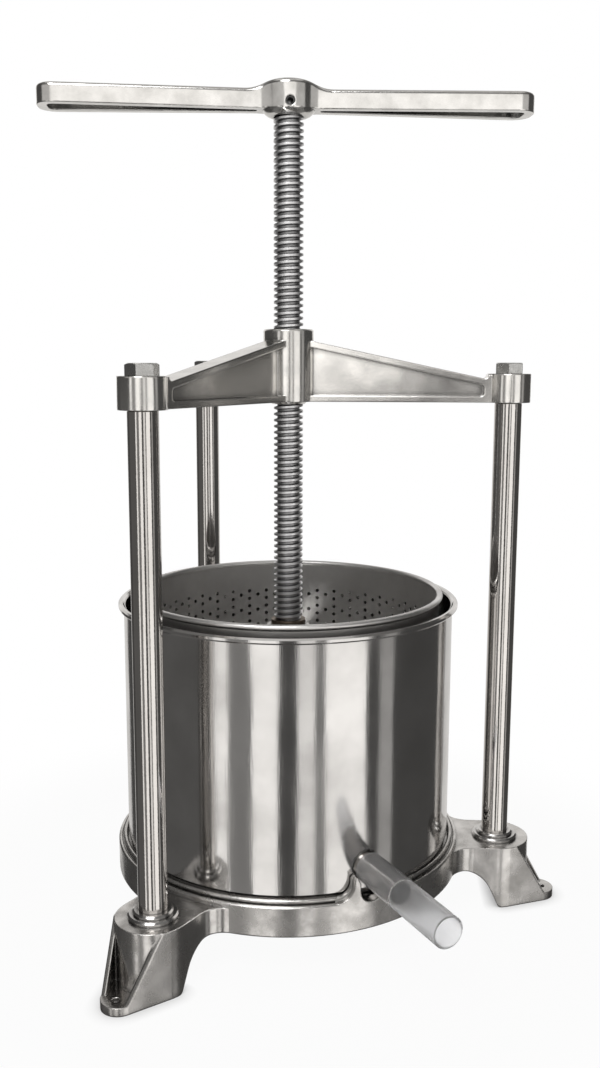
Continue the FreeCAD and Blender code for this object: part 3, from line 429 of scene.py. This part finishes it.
def polished_steel():
    """Drawn steel, with its grain and its unevenness running up the wall."""
    return metal(
        "polished_steel", dark=(0.54, 0.53, 0.52), light=(0.68, 0.67, 0.66), smoothest=0.08, roughest=0.16,
        blotch=20.0, grain=(1, 1, 0.05), wave=0.4 * MM, run=(1, 1, 0.4),
    )


def satin_steel():
    return metal(
        "satin_steel", dark=(0.60, 0.59, 0.58), light=(0.74, 0.73, 0.72), smoothest=0.3, roughest=0.4,
        blotch=30.0, grain=(1, 1, 0.1),
    )


def chrome():
    return metal(
        "column_chrome", dark=(0.60, 0.58, 0.56), light=(0.70, 0.68, 0.66), smoothest=0.06, roughest=0.1,
        blotch=15.0,
    )


# Painted shade: the collars' hollows up to 3 mm wide are darkened
def turned_steel():
    return metal(
        "turned_steel", dark=(0.54, 0.53, 0.52), light=(0.68, 0.67, 0.66), smoothest=0.14, roughest=0.2,
        blotch=60.0, reach=3 * MM,
    )


def tube_steel():
    return metal(
        "tube_steel", dark=(0.28, 0.265, 0.25), light=(0.42, 0.40, 0.385), smoothest=0.12, roughest=0.2,
        blotch=60.0, grain=(1, 0.1, 1),
    )


def zinc_steel():
    return metal(
        "zinc_steel", dark=(0.46, 0.46, 0.45), light=(0.66, 0.66, 0.65), smoothest=0.2, roughest=0.32,
        blotch=150.0, edge=0.6 * MM,
    )


def screw_steel():
    """Rolled thread: satin crests, and roots darkened by painted shade."""
    return metal(
        "screw_steel", dark=(0.72, 0.72, 0.73), light=(0.84, 0.84, 0.85), smoothest=0.34, roughest=0.44,
        blotch=60.0, edge=0.3 * MM, reach=3 * MM, deepest=0.12,
    )


def dark_steel():
    return metal(
        "pin_steel", dark=(0.05, 0.05, 0.05), light=(0.12, 0.12, 0.12), smoothest=0.4, roughest=0.6,
        blotch=150.0,
    )


def bronze():
    return metal(
        "bronze", dark=(0.11, 0.085, 0.065), light=(0.26, 0.21, 0.16), smoothest=0.35, roughest=0.5,
        blotch=150.0, edge=0.5 * MM,
    )


def along_hose(tree, place, over_tube, beyond):
    """One value where the hose clings to the tube, and another beyond the tube's end."""
    where = tree.nodes.new("ShaderNodeSeparateXYZ")
    tree.links.new(place, where.inputs[0])
    made = tree.nodes.new("ShaderNodeMapRange")
    made.inputs["From Min"].default_value = CLING_END
    made.inputs["From Max"].default_value = CLING_END - CLING_FADE
    made.inputs["To Min"].default_value = over_tube
    made.inputs["To Max"].default_value = beyond
    tree.links.new(where.outputs["Y"], made.inputs["Value"])
    return made.outputs["Result"]


def clear_plastic():
    """Soft clear hose: clear where it clings to the tube, and milky beyond the tube's end."""
    material, tree, shader, place = start_material("clear_plastic")
    shader.inputs["Transmission Weight"].default_value = 0.9
    shader.inputs["IOR"].default_value = 1.12
    cloud = noise(tree, stretched(tree, place, (1, 0.3, 1)), 60.0, detail=3.0)
    milk = ramp(tree, cloud, [(NOISE_LOW, (0.78, 0.78, 0.785)), (NOISE_HIGH, (0.93, 0.93, 0.935))])
    tree.links.new(milk, shader.inputs["Base Color"])
    tree.links.new(along_hose(tree, place, over_tube=0.06, beyond=0.32), shader.inputs["Roughness"])
    return material


# Studio: a small pale table, a ring of dark screens and lit windows around it, and a white world.
# The table glows white as the background does, but less so close to the press, and fades into it
WORLD_LIGHT = 0.55
TABLE_RADIUS = 0.44
TABLE_FADE = 0.26
TABLE_TONE = 0.6
TABLE_GLOW = 0.95
CONTACT_REACH = 0.012
SCREEN_RADIUS = 2.4
SCREEN_STEP = 5
LIGHT_COLOUR = (1.0, 0.98, 0.955)
DARK = 0.075
# Each level of screens: its name, its foot and top, and its windows with their light. The degrees start
# at the camera's direction and run anticlockwise as seen from above, to the right of the picture
LEVELS = [
    ("low", -2.0, 0.36, [
        (-105, -49, 0.12), (-49, -40, 1.2), (-40, -25, 0.25), (-24, -6, 1.25), (6, 18, 1.0), (18, 24.5, 0.22),
        (24.5, 53, 1.3), (62.6, 74, 0.42), (138, 215, 0.72),
    ]),
    ("middle", 0.36, 0.75, [
        (-49, -40, 1.2), (-40, -25, 0.25), (-24, 1, 1.5), (8, 18, 1.0), (18, 24.5, 0.22),
        (24.5, 53, 1.1), (62.6, 74, 0.42), (142, 218, 0.95),
    ]),
    ("high", 0.75, 1.6, [(-75, -22, 0.6), (-22, 34, 1.25), (34, 75, 0.55), (135, 225, 0.85)]),
    ("top", 1.6, 2.6, [(-60, 60, 0.15), (135, 225, 0.6)]),
]
# Ceiling and floor of the studio, as rings: the outer radius and the light of each
CEILING = [(0.6, 0.45), (1.3, 0.7), (SCREEN_RADIUS, 0.2)]
FLOOR = [(1.2, 0.1), (SCREEN_RADIUS, 0.2)]
# Key lamp: its place, what it points at, its width and its power in watts
KEY_PLACE = Vector((-1.2, -1.2, 2.2))
KEY_TARGET = Vector((0, 0, 0.3))
KEY_WIDTH = 1.2
KEY_POWER = 30


def emission(tree, colour, strength):
    made = tree.nodes.new("ShaderNodeEmission")
    made.inputs["Color"].default_value = (*colour, 1)
    made.inputs["Strength"].default_value = strength
    return made


def seen(tree):
    """1 for rays from the camera or off metal and glass, 0 for the rest."""
    path = tree.nodes.new("ShaderNodeLightPath")
    total = path.outputs["Is Camera Ray"]
    for kind in ("Is Glossy Ray", "Is Transmission Ray"):
        most = tree.nodes.new("ShaderNodeMath")
        most.operation = "MAXIMUM"
        tree.links.new(total, most.inputs[0])
        tree.links.new(path.outputs[kind], most.inputs[1])
        total = most.outputs[0]
    return total


def spread_light(tree, dim):
    """Full strength where the background is seen, and dim as a light."""
    made = tree.nodes.new("ShaderNodeMapRange")
    made.inputs["To Min"].default_value = dim
    tree.links.new(seen(tree), made.inputs["Value"])
    return made.outputs["Result"]


def build_world():
    world = bpy.data.worlds.new("white_room")
    world.use_nodes = True
    bpy.context.scene.world = world
    tree = world.node_tree
    background = tree.nodes["Background"]
    background.inputs["Color"].default_value = (1, 1, 1, 1)
    tree.links.new(spread_light(tree, WORLD_LIGHT), background.inputs["Strength"])


def white_share(tree):
    """How much of the table is seen as plain white: nearly all, but less right under the feet."""
    place = tree.nodes.new("ShaderNodeTexCoord")
    length = tree.nodes.new("ShaderNodeVectorMath")
    length.operation = "LENGTH"
    tree.links.new(place.outputs["Object"], length.inputs[0])
    fade = tree.nodes.new("ShaderNodeMapRange")
    fade.interpolation_type = "SMOOTHSTEP"
    fade.inputs["From Min"].default_value = TABLE_FADE
    fade.inputs["From Max"].default_value = TABLE_RADIUS
    fade.inputs["To Min"].default_value = TABLE_GLOW
    tree.links.new(length.outputs["Value"], fade.inputs["Value"])
    # Painted contact shadow: ambient occlusion dims the glow in hollows and right under the feet, where the
    # lit table then shows
    contact = tree.nodes.new("ShaderNodeAmbientOcclusion")
    contact.inputs["Distance"].default_value = CONTACT_REACH
    share = seen(tree)
    for part in (fade.outputs["Result"], contact.outputs["AO"]):
        product = tree.nodes.new("ShaderNodeMath")
        product.operation = "MULTIPLY"
        tree.links.new(share, product.inputs[0])
        tree.links.new(part, product.inputs[1])
        share = product.outputs[0]
    return share


def build_table():
    points, faces = swept_ring([(0.0, 0.0), (TABLE_RADIUS, 0.0)], segments=128)
    table = new_object("table", points, faces)
    material = bpy.data.materials.new("white_table")
    material.use_nodes = True
    tree = material.node_tree
    shader = tree.nodes["Principled BSDF"]
    shader.inputs["Base Color"].default_value = (TABLE_TONE, TABLE_TONE, TABLE_TONE, 1)
    shader.inputs["Roughness"].default_value = 0.8
    glow = emission(tree, (1, 1, 1), 1.0)
    mix = tree.nodes.new("ShaderNodeMixShader")
    tree.links.new(white_share(tree), mix.inputs["Fac"])
    tree.links.new(shader.outputs[0], mix.inputs[1])
    tree.links.new(glow.outputs[0], mix.inputs[2])
    tree.links.new(mix.outputs[0], tree.nodes["Material Output"].inputs["Surface"])
    table.data.materials.append(material)
    table.visible_glossy = False


def screen_bands(windows):
    """All the way round as (start, finish, light), with dark felt between the windows."""
    bands = []
    reached = windows[0][0]
    for start, finish, light in windows:
        if start > reached:
            bands.append((reached, start, DARK))
        bands.append((start, finish, light))
        reached = finish
    bands.append((reached, windows[0][0] + 360, DARK))
    return bands


def hang_light(name, points, faces, light):
    """A panel of the studio that gives light, and that only reflections and clear plastic show."""
    panel = new_object(name, points, faces)
    material = bpy.data.materials.new(name)
    material.use_nodes = True
    tree = material.node_tree
    glow = emission(tree, LIGHT_COLOUR, light)
    tree.links.new(glow.outputs[0], tree.nodes["Material Output"].inputs["Surface"])
    panel.data.materials.append(material)
    panel.visible_camera = False


def build_screen(name, start, finish, low, high, light):
    toward_camera = math.atan2(CAMERA_PLACE[1], CAMERA_PLACE[0])
    steps = max(1, math.ceil((finish - start) / SCREEN_STEP))
    points = []
    for step in range(steps + 1):
        angle = toward_camera + math.radians(start + (finish - start) * step / steps)
        points += [(SCREEN_RADIUS * math.cos(angle), SCREEN_RADIUS * math.sin(angle), z) for z in (low, high)]
    faces = [(2 * step, 2 * step + 2, 2 * step + 3, 2 * step + 1) for step in range(steps)]
    hang_light(name, points, faces, light)


def build_rings(name, height, rings):
    inner = 0.0
    for number, (outer, light) in enumerate(rings):
        points, faces = swept_ring([(inner, height), (outer, height)], segments=64)
        hang_light(f"{name}_{number}", points, faces, light)
        inner = outer


def build_screens():
    for level, low, high, windows in LEVELS:
        for number, (start, finish, light) in enumerate(screen_bands(windows)):
            build_screen(f"screen_{level}_{number}", start, finish, low, high, light)
    build_rings("ceiling", LEVELS[-1][2], CEILING)
    build_rings("floor", LEVELS[0][1], FLOOR)


def build_key_lamp():
    data = bpy.data.lights.new("key", "AREA")
    data.size = KEY_WIDTH
    data.energy = KEY_POWER
    lamp = bpy.data.objects.new("key", data)
    lamp.location = KEY_PLACE
    lamp.rotation_euler = (KEY_TARGET - KEY_PLACE).to_track_quat("-Z", "Y").to_euler()
    bpy.context.collection.objects.link(lamp)


def paint(thing, material):
    """Give an object, CAD node or new piece, one material all over."""
    if not thing.material_slots:
        thing.data.materials.append(material)
    for slot in thing.material_slots:
        slot.material = material


set_camera()
build_world()
build_table()
build_screens()
build_key_lamp()

# Pieces that stand in for CAD nodes
screw = threaded_screw()
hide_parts("screw")
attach(screw, "spindle")
paint(screw, screw_steel())
basket, basket_rim, basket_floor = perforated_basket()
for piece in (basket, basket_rim, basket_floor):
    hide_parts("basket")
    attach(piece, "strainer")
    paint(piece, satin_steel())
sleeve = soft_sleeve()
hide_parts("spout_sleeve")
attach(sleeve, "outlet")
paint(sleeve, clear_plastic())

# Finishes of the CAD nodes that are shown
finishes = {
    "base_casting": cast_aluminium(),
    "yoke": yoke_aluminium(),
    "handle": handle_aluminium(),
    "press_plate": handle_aluminium(),
    "thrust_ring": bronze(),
    "cross_pin": dark_steel(),
    "bucket": polished_steel(),
    "spout_tube": tube_steel(),
    "plate_retaining_washer": zinc_steel(),
    "plate_retaining_bolt": zinc_steel(),
}
for side in ("back", "left", "right"):
    finishes[f"{side}_column"] = chrome()
    finishes[f"{side}_collar"] = turned_steel()
    finishes[f"{side}_bolt"] = zinc_steel()
for name, material in finishes.items():
    paint(nodes[name], material)

bpy.context.scene.view_settings.view_transform = "Standard"
